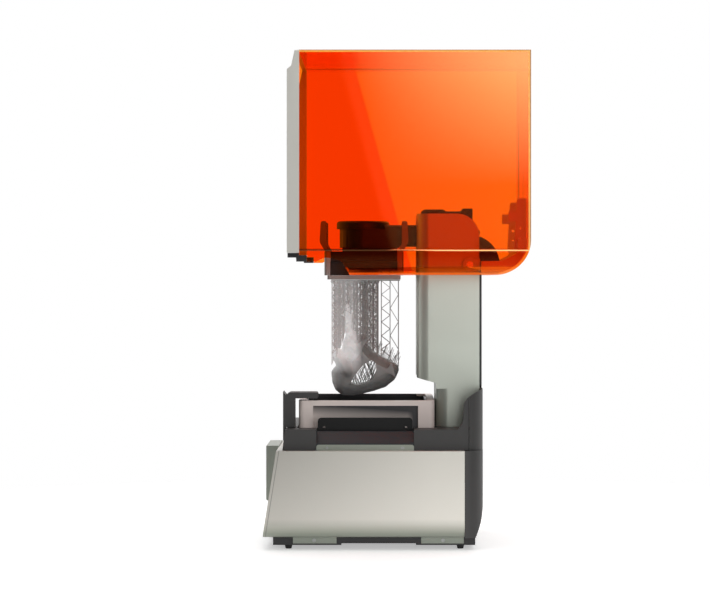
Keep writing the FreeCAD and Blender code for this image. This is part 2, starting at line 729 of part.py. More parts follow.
def mixer():
    """Arm that reaches from the deck's front edge over the tank's rim, and its stirring paddle."""
    front, back, top, under = -185.9, -169.6, 257.0, 247.0
    hook = [
        (front, DECK_TOP + 0.8),
        (front, top, 11),
        (-131, top, 4),
        (-131, under, 1.5),
        (back, under, 2),
        (back, DECK_TOP + 0.8),
    ]
    blade = [(-188.9, 177), (-188.9, 258.4), (-184.3, 252.5), (-184.3, 199), (-187.1, 177)]
    low, high = PADDLE_X - 25, PADDLE_X + 25
    neck = box((PADDLE_X - 4, PADDLE_X + 4), (-147, -139), (240, under + 0.5))
    keep("mixer_arm", join([prism("yz", hook, low, high), prism("yz", blade, low, high), neck]))
    vane = [(PADDLE_X - 5, 198), (PADDLE_X + 5, 198), (PADDLE_X + 2, 207), (PADDLE_X - 2, 207)]
    bar = prism("xz", vane, -147, 46.5)
    post = box((PADDLE_X - 2, PADDLE_X + 2), (-147, -139), (205, 239.8))
    keep("mixer_paddle", join([bar, post]))


def mixer_drive():
    """Belt drive in the deck's front edge; magnets take the arm along."""
    carriage = box((PADDLE_X - 11, PADDLE_X + 11), (BELT_Y - 4.5, BELT_Y + 4.5), (168.5, 180))
    clamp = box((PADDLE_X - 3, PADDLE_X + 3), (BELT_Y - 3, BELT_Y + 3), (179.5, BELT_LOW - 0.5))
    bore = rod(GUIDE_R + RUN_FIT, (80, BELT_Y, GUIDE_Z), (140, BELT_Y, GUIDE_Z))
    keep("drive_carriage", join([carriage, clamp]).cut(bore))
    low, high = BELT_LOW, BELT_HIGH
    loops = []
    for radius in (PULLEY_R + 1.2, PULLEY_R + RUN_FIT):
        ends = both(rod(radius, (PULLEY_X, BELT_Y, low), (PULLEY_X, BELT_Y, high)))
        middle = box((-PULLEY_X, PULLEY_X), (BELT_Y - radius, BELT_Y + radius), (low, high))
        loops.append(join(ends + [middle]))
    keep("mixer_belt", loops[0].cut(loops[1]))
    for name, x, foot in (("drive_pulley", -PULLEY_X, 181.2), ("idler_pulley", PULLEY_X, 183.4)):
        wheel = rod(PULLEY_R, (x, BELT_Y, low), (x, BELT_Y, high))
        flange = rod(PULLEY_R + 1, (x, BELT_Y, low - 1.6), (x, BELT_Y, low - 0.3))
        hub = rod(2.6, (x, BELT_Y, low - 3.8), (x, BELT_Y, low + 1))
        shaft = rod(1.5, (x, BELT_Y, foot), (x, BELT_Y, high + 1.4))
        keep(name, join([wheel, flange, hub, shaft]))
    motor = slab((-PULLEY_X - 6, -PULLEY_X + 6), (BELT_Y - 5.4, BELT_Y + 5.4), (160, 180.6), 1.5)
    keep("mixer_motor", motor)


# ---- light engine and electronics ----------------------------------------

def light_engine():
    """Reflector box between the lamp board and the masking screen."""
    outer = box((-104, 104), (-129, 29), (66, 179.5))
    inner = box((-101, 101), (-126, 26), (68.5, 181))
    keep("light_engine", outer.cut(inner))
    board = box((-98, 98), (-123, 23), (68.7, 70.5))
    lamps = []
    for x in range(-84, 85, 28):
        for y in range(-110, 11, 20):
            lamps.append(Part.makeCone(6, 3, 4, Vector(x, y, 70.3)))
    keep("led_board", join([board] + lamps))
    base = box((-90, 90), (-120, 20), (58, 65.7))
    fins = [box((x, x + 3), (-120, 20), (30, 58.2)) for x in range(-88, 86, 9)]
    keep("heat_sink", join([base] + fins))


def cooling_fan():
    low, high = 110.5, 135.5
    frame = slab((FAN_X - FAN_HALF, FAN_X + FAN_HALF), (low, high),
                 (FAN_Z - FAN_HALF, FAN_Z + FAN_HALF), 4, "xz")
    frame = frame.cut(rod(28, (FAN_X, low - 1, FAN_Z), (FAN_X, high + 1, FAN_Z)))
    struts = [rod(11, (FAN_X, low, FAN_Z), (FAN_X, low + 3, FAN_Z))]
    for turn in range(4):
        strut = box((FAN_X + 9, FAN_X + 28.6), (low, low + 3), (FAN_Z - 1.5, FAN_Z + 1.5))
        strut.rotate(Vector(FAN_X, 0, FAN_Z), Vector(0, 1, 0), 45 + turn * 90)
        struts.append(strut)
    keep("fan_frame", join([frame] + struts))
    blades = [rod(12, (FAN_X, low + 4, FAN_Z), (FAN_X, high - 2, FAN_Z))]
    for turn in range(7):
        blade = box((FAN_X + 10, FAN_X + 26.5), (low + 12, low + 13.6), (FAN_Z - 8, FAN_Z + 8))
        blade.rotate(Vector(FAN_X, low + 12.8, FAN_Z), Vector(1, 0, 0), 30)
        blade.rotate(Vector(FAN_X, 0, FAN_Z), Vector(0, 1, 0), turn * 360 / 7)
        blades.append(blade)
    keep("fan_rotor", join(blades))


def electronics():
    board = box((150, 151.8), (-120, 60), (30, 150))
    parts = [box((140, 150.2), (y, y + 22), (z, z + 16)) for y, z in ((-100, 60), (-60, 100), (10, 50))]
    chip_corners = ((-60, 55), (-15, 90), (-100, 105))
    chips = [box((146.5, 150.2), (y, y + 26), (z, z + 26)) for y, z in chip_corners]
    keep("main_board", join([board] + parts + chips))
    supply = slab((-165, -112), (-120, 60), (26, 76), 2, "xz")
    for step in range(12):
        y = -110 + step * 14
        supply = supply.cut(box((-150, -127), (y, y + 7), (73, 80)))
    keep("power_supply", supply)
    mouth = slab((INLET_X - 12, INLET_X + 12), (130, 142), (PORT_Z - 7.5, PORT_Z + 7.5), 3, "xz")
    flange = slab((INLET_X - 17, INLET_X + 17), (139.9, 142.4), (PORT_Z - 13, PORT_Z + 13), 3, "xz")
    core = box((INLET_X - 13.6, INLET_X + 13.6), (118, 140.2), (PORT_Z - 9.8, PORT_Z + 9.8))
    pins = []
    for x in (INLET_X - 7, INLET_X, INLET_X + 7):
        pins.append(box((x - 1, x + 1), (129, 136), (PORT_Z - 2, PORT_Z + 2)))
    room = mouth.fuse(mouth.translated(Vector(0, 3, 0)))
    keep("power_inlet", join([join([flange, core]).cut(room)] + pins))
    rocker = [
        (133, PORT_Z - 7, 1),
        (141.8, PORT_Z - 9),
        (139.8, PORT_Z),
        (142.4, PORT_Z + 9),
        (133, PORT_Z + 7, 1),
    ]
    body = prism("yz", rocker, SWITCH_X - 6, SWITCH_X + 6)
    pivot = rod(1.5, (SWITCH_X - 7, 136.5, PORT_Z), (SWITCH_X + 7, 136.5, PORT_Z))
    rocker = join([body, pivot])
    rocker.rotate(Vector(SWITCH_X, 136.5, PORT_Z), Vector(1, 0, 0), 7)
    keep("power_switch", rocker)


# ---- cover ---------------------------------------------------------------

def cover_form(inset, bottom):
    """Solid of the closed cover's outside, or of its inside with an inset."""
    half = HALF_WIDTH - inset
    front, rear = COVER_FRONT + inset, COVER_REAR - inset
    top = COVER_TOP - inset
    plan = [
        (-half, front, 3 - inset / 2),
        (half, front, 3 - inset / 2),
        (half, rear, COVER_CORNER - inset),
        (-half, rear, COVER_CORNER - inset),
    ]
    side = [(front - 1, bottom), (front - 1, top), (rear, top, COVER_CURVE - inset), (rear, bottom)]
    return prism("xy", plan, bottom, top).common(prism("yz", side, -half - 1, half + 1))


def cover_shell():
    shell = cover_form(0, COVER_BOTTOM).cut(cover_form(COVER_WALL, COVER_BOTTOM - 1))
    notch = [
        (118, 150),
        (118, 215, 4),
        (110.8, 230, 14),
        (116, 256, 14),
        (137.2, 268),
        (150, 273),
        (150, 150),
    ]
    shell = shell.cut(prism("yz", notch, -220, 220))
    shell = shell.cut(box((-SLOT_HALF, SLOT_HALF), (100, 150), (150, 580)))
    shell = shell.cut(box((-91, 91), (92, 101), (500, 580)))
    shell = shell.cut(box((-210, 210), (107.4, 150), (150, CAP_TOP)))
    keep("cover_shell", swung_open(shell))


def cover_skirt():
    """Brushed band that carries the lower edge of the cover's walls."""
    thick = 3.0
    side = [
        (SKIRT_END, SKIRT_BOTTOM),
        (-197.7, SKIRT_BOTTOM, 1),
        (-203.6, 173.8, 1),
        (-228.7, 179.3, 1),
        (COVER_FRONT, COVER_BOTTOM - 0.2),
        (SKIRT_END, COVER_BOTTOM - 0.2),
    ]
    half, front = HALF_WIDTH, COVER_FRONT
    plan = [(-half, front, 3), (half, front, 3), (half, 120), (-half, 120)]
    inner, inside = half - thick, front + thick
    hollow = [(-inner, inside, 2), (inner, inside, 2), (inner, 130), (-inner, 130)]
    band = prism("yz", side, -half, half).common(prism("xy", plan, 150, 200))
    keep("cover_skirt", swung_open(band.cut(prism("xy", hollow, 150, 200))))


def cover_end_caps():
    """Black end pieces behind the band, at the hinge side."""
    low = box((170, 200), (SKIRT_END + 0.2, 111.4), (167.8, COVER_BOTTOM - 0.4))
    high = box((170, 200), (107.7, 118), (182, CAP_TOP - 0.3))
    ring = cover_form(0.4, 165).cut(cover_form(6.5, 160))
    cap = ring.common(join([low, high]))
    keep("cover_end_caps", [swung_open(part) for part in both(cap)])


def cover_hinges():
    """Arms that turn on the pins, round shields behind the tower, and the cheeks in the cover."""
    shoulder = 487.0
    hub = rod(12, (110, HINGE_Y, HINGE_Z), (115.4, HINGE_Y, HINGE_Z))
    neck = box((110, 115.4), (HINGE_Y - 10, HINGE_Y + 10), (HINGE_Z, shoulder))
    bore = rod(6 + RUN_FIT, (100, HINGE_Y, HINGE_Z), (120, HINGE_Y, HINGE_Z))
    keep("hinge_arms", [swung_open(part) for part in both(join([hub, neck]).cut(bore))])
    shield = rod(50, (107.8, HINGE_Y, HINGE_Z), (115.4, HINGE_Y, HINGE_Z))
    shield = shield.common(box((100, 120), (60, 139.4), (shoulder + 0.1, 530)))
    keep("hinge_shields", [swung_open(part) for part in both(shield)])
    crescent = [
        (135.6, 488),
        (135.6, COVER_TOP - 4.4, 53.5),
        (80, COVER_TOP - 4.4),
        (80, 549),
        (104, 547, 8),
        (116.5, 522, 14),
        (117, 488),
    ]
    cheek = prism("yz", crescent, SLOT_HALF, 158)
    strap = [(12, COVER_TOP - 4.4), (12, 548, 4), (100, 543, 4), (100, 556), (81, COVER_TOP - 4.4)]
    strap = prism("yz", strap, SLOT_HALF + 1, 128)
    lug = box((SLOT_HALF + 1, 126), (33, 50), (534, 549))
    piece = join([cheek, strap, lug])
    for y in (62, 80):
        piece = piece.cut(rod(2.5, (110, y, 553), (130, y, 553)))
    keep("hinge_cheeks", [swung_open(part) for part in both(piece)])


def build():
    base_pan()
    rubber_feet()
    chassis_frame()
    side_panels()
    panel_screws()
    front_panel()
    front_screen()
    deck_tray()
    lcd_panel()
    tank_brackets()
    guide_rod()
    rear_cover()
    rear_panel()
    tower_shell()
    tower_back()
    tower_cap()
    tower_frame()
    hinge_pins()
    z_drive()
    z_stage()
    platform_arm()
    lock_knob()
    platform()
    flex_handles()
    printed_part()
    tank()
    mixer()
    mixer_drive()
    light_engine()
    cooling_fan()
    electronics()
    cover_shell()
    cover_skirt()
    cover_end_caps()
    cover_hinges()


build()
os.makedirs("parts", exist_ok=True)
low_corner = [1e9, 1e9, 1e9]
high_corner = [-1e9, -1e9, -1e9]
for name, solids in nodes.items():
    shape = solids[0] if len(solids) == 1 else Part.makeCompound(solids)
    shape.exportStep("parts/" + name + ".step")
    bounds = shape.BoundBox
    lows = (bounds.XMin, bounds.YMin, bounds.ZMin)
    highs = (bounds.XMax, bounds.YMax, bounds.ZMax)
    low_corner = [min(pair) for pair in zip(low_corner, lows)]
    high_corner = [max(pair) for pair in zip(high_corner, highs)]
    print(name, len(solids), "solids, valid", shape.isValid(), "volume", round(shape.Volume))
print("nodes", len(nodes), "box", low_corner, high_corner)
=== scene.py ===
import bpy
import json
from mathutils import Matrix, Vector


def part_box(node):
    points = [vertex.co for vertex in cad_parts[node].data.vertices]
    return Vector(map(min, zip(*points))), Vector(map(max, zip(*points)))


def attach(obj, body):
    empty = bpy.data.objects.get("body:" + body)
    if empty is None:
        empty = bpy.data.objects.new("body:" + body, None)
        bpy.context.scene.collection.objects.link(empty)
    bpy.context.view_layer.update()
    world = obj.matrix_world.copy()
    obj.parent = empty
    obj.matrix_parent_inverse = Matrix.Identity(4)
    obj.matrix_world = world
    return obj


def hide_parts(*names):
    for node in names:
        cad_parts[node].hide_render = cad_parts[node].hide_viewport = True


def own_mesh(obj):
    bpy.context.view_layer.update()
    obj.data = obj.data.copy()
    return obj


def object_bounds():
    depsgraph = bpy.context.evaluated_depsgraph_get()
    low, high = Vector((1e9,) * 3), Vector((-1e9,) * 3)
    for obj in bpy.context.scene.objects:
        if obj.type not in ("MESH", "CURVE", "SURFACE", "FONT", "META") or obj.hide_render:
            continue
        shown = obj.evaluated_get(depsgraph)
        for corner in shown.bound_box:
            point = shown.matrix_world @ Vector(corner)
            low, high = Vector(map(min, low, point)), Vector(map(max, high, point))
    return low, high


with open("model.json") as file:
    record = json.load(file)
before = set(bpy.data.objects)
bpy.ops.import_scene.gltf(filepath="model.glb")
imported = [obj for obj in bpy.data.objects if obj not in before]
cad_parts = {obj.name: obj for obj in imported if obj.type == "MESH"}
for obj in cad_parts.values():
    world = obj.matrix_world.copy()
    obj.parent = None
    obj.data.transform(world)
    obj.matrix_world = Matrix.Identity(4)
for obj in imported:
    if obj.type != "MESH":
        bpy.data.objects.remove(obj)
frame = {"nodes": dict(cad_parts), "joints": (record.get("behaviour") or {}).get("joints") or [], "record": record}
cad_box = [list(corner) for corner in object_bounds()]

import json
import math
import random

import bmesh
import bpy
from mathutils import Matrix, Vector, noise

scene = bpy.context.scene
nodes = frame["nodes"]
MM = 0.001

# Places that the finished pieces share with the frame
joint = {entry["name"]: entry for entry in frame["joints"]}
hinge = Vector(joint["cover_hinge"]["pos_m"])
plate_low, plate_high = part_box("platform_plate")
raft_low, raft_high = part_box("print_supports")
glass_low, glass_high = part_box("touch_screen")
print_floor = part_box("print_model")[0].z
near_side = cad_box[1][0]


# ---- shader maths --------------------------------------------------------

class Signal:
    """A shader value that plain arithmetic can be written on."""

    def __init__(self, finish, socket):
        self.finish = finish
        self.socket = socket

    def maths(self, operation, *values):
        inputs = {index: value for index, value in enumerate(values)}
        return self.finish.add("ShaderNodeMath", {"operation": operation}, inputs)

    def __add__(self, other):
        return self.maths("ADD", self, other)

    def __radd__(self, other):
        return self.maths("ADD", other, self)

    def __sub__(self, other):
        return self.maths("SUBTRACT", self, other)

    def __rsub__(self, other):
        return self.maths("SUBTRACT", other, self)

    def __mul__(self, other):
        return self.maths("MULTIPLY", self, other)

    def __rmul__(self, other):
        return self.maths("MULTIPLY", other, self)

    def __truediv__(self, other):
        return self.maths("DIVIDE", self, other)

    def __rtruediv__(self, other):
        return self.maths("DIVIDE", other, self)

    def __pow__(self, other):
        return self.maths("POWER", self, other)

    def over(self, edge):
        return self.maths("GREATER_THAN", self, edge)

    def under(self, edge):
        return self.maths("LESS_THAN", self, edge)

    def size(self):
        """The value without its sign."""
        return self.maths("ABSOLUTE", self)

    def held(self):
        """The value kept between 0 and 1."""
        return self.finish.add("ShaderNodeClamp", {}, {0: self})


class Finish:
    """One material, built node by node."""

    def __init__(self, name):
        self.material = bpy.data.materials.new(name)
        self.material.use_nodes = True
        self.tree = self.material.node_tree
        self.tree.nodes.clear()
        self.output = self.tree.nodes.new("ShaderNodeOutputMaterial")
        self.shader = self.tree.nodes.new("ShaderNodeBsdfPrincipled")
        self.tree.links.new(self.shader.outputs[0], self.output.inputs[0])

    def put(self, socket, value):
        if isinstance(value, Signal):
            self.tree.links.new(value.socket, socket)
        elif hasattr(socket.default_value, "__len__") and len(value) < len(socket.default_value):
            socket.default_value = (*value, 1.0)
        else:
            socket.default_value = value

    def add(self, kind, settings, inputs, output=0):
        node = self.tree.nodes.new(kind)
        for key, value in settings.items():
            if key == "stops":
                ramp = node.color_ramp
                while len(ramp.elements) < len(value):
                    ramp.elements.new(1.0)
                for element, (place, colour) in zip(ramp.elements, value):
                    element.position = place
                    element.color = (*colour, 1.0)
            else:
                setattr(node, key, value)
        for key, value in inputs.items():
            self.put(node.inputs[key], value)
        return Signal(self, node.outputs[output])

    def place(self, scale=(1, 1, 1), turn=(0, 0, 0)):
        """Object coordinates, stretched or turned."""
        spot = self.add("ShaderNodeTexCoord", {}, {}, "Object")
        return self.add("ShaderNodeMapping", {}, {"Vector": spot, "Scale": scale, "Rotation": turn})

    def axis(self, name):
        """One object coordinate in metres."""
        spot = self.add("ShaderNodeTexCoord", {}, {}, "Object")
        return self.add("ShaderNodeSeparateXYZ", {}, {0: spot}, name)

    def grain(self, scale, detail=2.0, stretch=(1, 1, 1)):
        """Noise between 0 and 1."""
        inputs = {"Vector": self.place(stretch), "Scale": scale, "Detail": detail, "Roughness": 0.6}
        return self.add("ShaderNodeTexNoise", {}, inputs)

    def blend(self, factor, first, second):
        """A colour between two colours."""
        settings = {"data_type": "RGBA", "clamp_factor": True}
        return self.add("ShaderNodeMix", settings, {0: factor, 6: first, 7: second}, 2)

    def bump(self, height, distance, strength=1.0):
        inputs = {"Height": height, "Distance": distance, "Strength": strength}
        return self.add("ShaderNodeBump", {}, inputs)

    def clear(self, tint):
        """A surface that light passes straight through, tinted."""
        node = self.tree.nodes.new("ShaderNodeBsdfTransparent")
        self.put(node.inputs[0], tint)
        return node.outputs[0]

    def mixed(self, share, first, second):
        """A surface between two surfaces."""
        node = self.tree.nodes.new("ShaderNodeMixShader")
        self.put(node.inputs[0], share)
        self.tree.links.new(first, node.inputs[1])
        self.tree.links.new(second, node.inputs[2])
        return node.outputs[0]

    def look(self, **inputs):
        names = {
            "base": "Base Color",
            "rough": "Roughness",
            "metal": "Metallic",
            "coat": "Coat Weight",
            "coat_rough": "Coat Roughness",
            "normal": "Normal",
            "alpha": "Alpha",
            "glow": "Emission Color",
            "glow_strength": "Emission Strength",
            "gloss": "Specular IOR Level",
            "ior": "IOR",
            "through": "Transmission Weight",
            "scatter": "Subsurface Weight",
            "scatter_depth": "Subsurface Scale",
        }
        for key, value in inputs.items():
            self.put(self.shader.inputs[names[key]], value)
        return self.material


# Places on the cover, the side panels and the chassis that their shading follows, metres
TANGENT = hinge.z + 0.0238
SIDE_WALL = 0.185
RIM_TOP, RIM_BACK = 0.8208, 0.2189
SLOT_END = 0.4925
PANEL_FOOT, PANEL_LEAN, PANEL_TOP = -0.2237, 0.1597, 0.164
LINE_INSET, LINE_WIDTH = 0.0038, 0.0014
ROLL_TOP = 0.052
TAB_TOP = 0.0207
CHAMPAGNE = (0.745, 0.725, 0.66)
SAGE = (0.56, 0.60, 0.53)
CHARCOAL = (0.040, 0.039, 0.038)


def mild(colour, amount):
    """A slightly lighter or darker neighbour of a colour."""
    return tuple(min(1.0, part * amount) for part in colour)


def panel_shade(finish, base):
    """The side panels carry painted shade towards their upper front and on their roll, are darker at their tabs,
    and have a line at the front edge.
    """
    along, high = finish.axis("Y"), finish.axis("Z")
    # Painted shade: darker towards the upper front, where the side card's reflection falls off
    back = ((along + 0.2) / 0.26).held() * 0.62
    down = ((PANEL_TOP - high) / 0.12).held() * 0.38
    base = finish.blend(1.0 - back - down, base, mild(CHAMPAGNE, 0.60))
    # Painted shade on the lower roll, which faces the floor's shadow
    roll = ((ROLL_TOP - high) / 0.024).held()
    base = finish.blend(roll * 0.8, base, (0.24, 0.27, 0.215))
    tab = high.over(PANEL_TOP - 0.0001)
    base = finish.blend(tab * 0.9, base, (0.24, 0.265, 0.22))
    edge = along - high * PANEL_LEAN - PANEL_FOOT
    line = edge.over(LINE_INSET) * edge.under(LINE_INSET + LINE_WIDTH)
    return finish.blend(line * 0.45, base, (0.05, 0.05, 0.045))


def tab_shade(finish, base):
    """The chassis is darker where its tabs show below the panels: painted shade under the panels."""
    tab = finish.axis("Z").under(TAB_TOP)
    return finish.blend(tab * 0.9, base, (0.20, 0.22, 0.185))


def tower_foot_shade(finish, base):
    """Painted shade darkens the tower towards the deck."""
    foot = ((0.33 - finish.axis("Z")) / 0.15).held()
    return finish.blend(foot * 0.55, base, (0.22, 0.24, 0.20))


def coated_metal(name, tone, rough=0.42, metal=0.55, shade=None):
    """Blasted and anodised sheet with a fine satin grain and faint handling marks."""
    finish = Finish(name)
    fine = finish.grain(2600, 3)
    broad = finish.grain(7, 3)
    base = finish.blend(fine, mild(tone, 0.93), mild(tone, 1.06))
    base = finish.blend(broad * 0.35, base, mild(tone, 0.9))
    if shade:
        base = shade(finish, base)
    smear = finish.grain(24, 4, (1, 0.3, 1))
    return finish.look(
        base=base,
        metal=metal,
        rough=rough + (smear - 0.5) * 0.12 + (fine - 0.5) * 0.1,
        normal=finish.bump(fine, 0.00006, 0.5),
        coat=0.12,
        coat_rough=0.3,
    )


def brushed_metal(name, tone, rough=0.3, along=(1, 60, 60), metal=1.0, shade=None):
    """Bare metal with drawn lines along one axis."""
    finish = Finish(name)
    lines = finish.grain(60, 4, along)
    stain = finish.grain(30, 3)
    base = finish.blend(lines, mild(tone, 0.86), mild(tone, 1.1))
    base = finish.blend(stain * 0.4, base, mild(tone, 0.84))
    if shade:
        base = shade(finish, base)
    return finish.look(
        base=base,
        metal=metal,
        rough=rough + (lines - 0.5) * 0.2 + (stain - 0.5) * 0.1,
        normal=finish.bump(lines, 0.00004, 0.5),
    )


def moulded(name, tone, rough=0.5, texture=0.00008, scale=1500, gloss=0.45, shade=None):
    """Moulded plastic with a spark-eroded texture and slight sheen differences."""
    finish = Finish(name)
    fine = finish.grain(scale, 2)
    cloud = finish.grain(12, 3)
    base = finish.blend(cloud, mild(tone, 0.9), mild(tone, 1.12))
    base = finish.blend(fine * 0.3, base, mild(tone, 1.25))
    if shade:
        base = shade(finish, base)
    return finish.look(
        base=base,
        rough=rough + (cloud - 0.5) * 0.12 + (fine - 0.5) * 0.12,
        gloss=gloss,
        normal=finish.bump(fine, texture, 0.6),
    )


def tank_recess_shadow(finish, base):
    """Painted shadow inside the tank's side recess: dark under the rim and at the rear end, fading downwards."""
    recess_back_wall = 0.1245
    recess_front, recess_rear = -0.1392, 0.0362
    fade_foot, fade_height = 0.2100, 0.020
    across, along, high = finish.axis("X"), finish.axis("Y"), finish.axis("Z")
    inside = across.size().under(recess_back_wall)
    inside = inside * along.over(recess_front) * along.under(recess_rear)
    # Painted shadow: darkest under the rim, fading downwards, and in a band at the recess's rear end
    top = ((high - fade_foot) / fade_height + (along + 0.05) / 0.30).held()
    end = ((along - 0.0180) / 0.010).held()
    dark = 1.0 - (1.0 - top) * (1.0 - end)
    return finish.blend(dark * inside * 0.97, base, (0.010, 0.011, 0.016))


def dark_middle(finish, base):
    """Between its end columns the platform's sides are blackened."""
    column = 0.0055
    along = finish.axis("Y")
    middle = along.over(plate_low.y + column) * along.under(plate_high.y - column)
    return finish.blend(middle * 0.98, base, (0.006, 0.0055, 0.005))


def deck_side(finish, base):
    """The sloped side ledges are darker than the deck."""
    ledge_front, ledge_rear, ledge_top = -0.1321, 0.0287, 0.1945
    along = finish.axis("Y")
    ledge = along.over(ledge_front) * along.under(ledge_rear) * finish.axis("Z").under(ledge_top)
    return finish.blend(ledge * 0.9, base, (0.014, 0.020, 0.025))


def rear_strip(finish, base):
    """The rear edge's inset strip is a shade darker than the shell."""
    strip_front, strip_top = 0.1392, 0.1637
    strip = finish.axis("Y").over(strip_front) * finish.axis("Z").under(strip_top)
    return finish.blend(strip * 0.45, base, (0.004, 0.004, 0.004))


def rubbery(name, tone):
    """Dull rubber with a little dust."""
    finish = Finish(name)
    fine = finish.grain(900, 3)
    dust = finish.grain(60, 4)
    return finish.look(
        base=finish.blend(dust * 0.5, tone, mild(tone, 2.0)),
        rough=0.82 + (fine - 0.5) * 0.15,
        normal=finish.bump(fine, 0.0001, 0.6),
    )


def clear_orange(name):
    """Cast orange acrylic: tinted light passes, the polished skin mirrors the room in amber, and painted
    reflections pale the far wall and draw two lines on the near wall.
    """
    finish = Finish(name)
    haze = finish.grain(5, 2)
    swirl = finish.grain(30, 3)
    across, along, high = finish.axis("X"), finish.axis("Y"), finish.axis("Z")

    # Painted reflection: two lines drawn on the near wall where its lower curve begins and the mirrored room
    # changes
    near = across.over(0.15)
    dark_reflection_line = high.over(TANGENT + 0.0004) * high.under(TANGENT + 0.0020) * near
    light_reflection_line = high.over(TANGENT - 0.0016) * high.under(TANGENT + 0.0004) * near
    amber = finish.blend(haze, (1.0, 0.60, 0.24), (1.0, 0.64, 0.28))
    finish.look(
        base=finish.blend(dark_reflection_line, amber, (0.30, 0.02, 0.0)),
        metal=1.0,
        rough=0.02 + swirl * 0.02,
    )

    # Painted reflection: a slanted band of light, drawn as a paler tint, fills the rear upper part of the far wall
    slant = across * 0.0102 + along + high * 0.2819 - 0.1568
    lit = slant.over(0.0)
    rise = (slant / 0.30).held()
    far_wall = across.under(-SIDE_WALL)
    between = across.under(SIDE_WALL) - far_wall
    painted_reflection_share = far_wall * (0.10 + lit * 0.56 + rise * 0.34) + between * lit * (0.25 + rise * 0.25)
    clear = finish.mixed(painted_reflection_share, finish.clear((0.990, 0.425, 0.07)), finish.clear((1.0, 0.83, 0.42)))

    # What the skin mirrors: most at a glancing angle; painted reflection adds more along the two drawn lines and
    # high up at the rear
    rim = finish.add("ShaderNodeFresnel", {}, {"IOR": 1.25})
    skin = ((high - 0.60) / 0.20).held() * rise * lit * across.over(SIDE_WALL) * 0.30
    share = 0.004 + skin + rim * 0.5 + light_reflection_line * 0.5 + dark_reflection_line * 0.5
    whole = finish.mixed(share.held(), clear, finish.shader.outputs[0])
    finish.tree.links.new(whole, finish.output.inputs[0])
    return finish.material


def painted_glow_edge(name):
    """Sawn and flame-polished acrylic edge with a painted glow for the light it gathers."""
    finish = Finish(name)
    wave = finish.grain(90, 2)
    tone = finish.blend(wave, (1.0, 0.30, 0.02), (1.0, 0.52, 0.09))
    outer = (finish.axis("Z").over(RIM_TOP) + finish.axis("Y").over(RIM_BACK)).held()
    tone = finish.blend(outer * 0.8, tone, (0.12, 0.08, 0.06))
    # Painted glow: the edge emits its own tone
    finish.look(base=tone, rough=0.12 + wave * 0.1, glow=tone, glow_strength=0.32, alpha=0.82)
    return finish.material


def dark_glass(name):
    """Black glass with faint smudges."""
    finish = Finish(name)
    smudge = finish.grain(40, 4)
    return finish.look(
        base=finish.blend(smudge, (0.006, 0.007, 0.009), (0.014, 0.015, 0.018)),
        rough=0.05 + smudge * 0.09,
        coat=0.6,
        coat_rough=0.04,
    )


def clear_film(name):
    """Thin clear film, slightly rippled."""
    finish = Finish(name)
    ripple = finish.grain(50, 2)
    return finish.look(
        base=finish.blend(ripple, (0.10, 0.11, 0.13), (0.2, 0.2, 0.22)),
        rough=0.08 + ripple * 0.1,
        alpha=0.35 + ripple * 0.1,
        normal=finish.bump(ripple, 0.0004, 0.5),
    )


def cured_resin(name, low_tone=(0.24, 0.228, 0.218), high_tone=(0.40, 0.385, 0.375), lift=0.9):
    """Grey cured resin with fine layer steps; the thin inner part at the upper front is painted lighter and given
    a painted glow for the light it lets through.
    """
    finish = Finish(name)
    layers = finish.add(
        "ShaderNodeTexWave",
        {"bands_direction": "Z"},
        {"Vector": finish.place(), "Scale": 700.0, "Distortion": 0.4, "Detail": 1.0},
        "Fac",
    )
    cloud = finish.grain(26, 3)
    base = finish.blend(cloud, low_tone, high_tone)
    # Painted light: the thin upper front is painted paler and glows
    front = ((-0.058 - finish.axis("Y")) / 0.012).held()
    high = ((finish.axis("Z") - 0.285) / 0.030).held()
    base = finish.blend(front * high * lift, base, (0.80, 0.785, 0.78))
    painted_resin_glow = finish.blend(front * high * lift, (0.0, 0.0, 0.0), (0.30, 0.29, 0.29))
    return finish.look(
        glow=painted_resin_glow,
        glow_strength=0.8,
        base=finish.blend(layers * 0.15, base, (0.28, 0.27, 0.26)),
        rough=0.42 + (cloud - 0.5) * 0.2,
        normal=finish.bump(layers, 0.00012, 0.5),
        coat=0.15,
        coat_rough=0.2,
        scatter=0.12,
        scatter_depth=0.002,
    )


def board_green(name):
    """Circuit board mask with paler tracks and pads."""
    finish = Finish(name)
    settings = {"feature": "DISTANCE_TO_EDGE"}
    cells = finish.add("ShaderNodeTexVoronoi", settings, {"Vector": finish.place(), "Scale": 160.0})
    track = cells.under(0.06)
    return finish.look(
        base=finish.blend(track, (0.012, 0.09, 0.035), (0.05, 0.2, 0.09)),
        rough=0.32 + finish.grain(200) * 0.2,
        normal=finish.bump(track, 0.0001, 0.6),
    )


def display(name):
    """Glass with a plain lit screen: a title bar, a ring of progress and two keys."""
    finish = Finish(name)
    middle = (glass_low + glass_high) / 2
    wide = (finish.axis("X") - middle.x) / 0.055
    high = (finish.axis("Z") - middle.z) / 0.028
    inside = wide.size().under(1.0) * high.size().under(1.0)
    across = (finish.axis("X") - middle.x + 0.026) / 0.014
    up = (finish.axis("Z") - middle.z + 0.002) / 0.014
    radius = (across * across + up * up) ** 0.5
    ring = radius.under(1.0) * radius.over(0.78)
    bar = high.over(0.68) * inside
    key = wide.over(0.18) * wide.under(0.86)
    keys = key * (high.over(0.02) * high.under(0.38) + high.over(-0.56) * high.under(-0.2))
    glow = finish.blend(inside, (0.0, 0.0, 0.0), (0.012, 0.02, 0.035))
    glow = finish.blend(bar, glow, (0.04, 0.07, 0.11))
    glow = finish.blend(ring, glow, (0.85, 0.3, 0.04))
    glow = finish.blend(keys, glow, (0.16, 0.26, 0.34))
    smudge = finish.grain(40, 4)
    return finish.look(
        base=finish.blend(smudge, (0.005, 0.006, 0.008), (0.012, 0.013, 0.015)),
        rough=0.06 + smudge * 0.08,
        glow=glow,
        glow_strength=1.3,
        coat=0.5,
        coat_rough=0.04,
    )


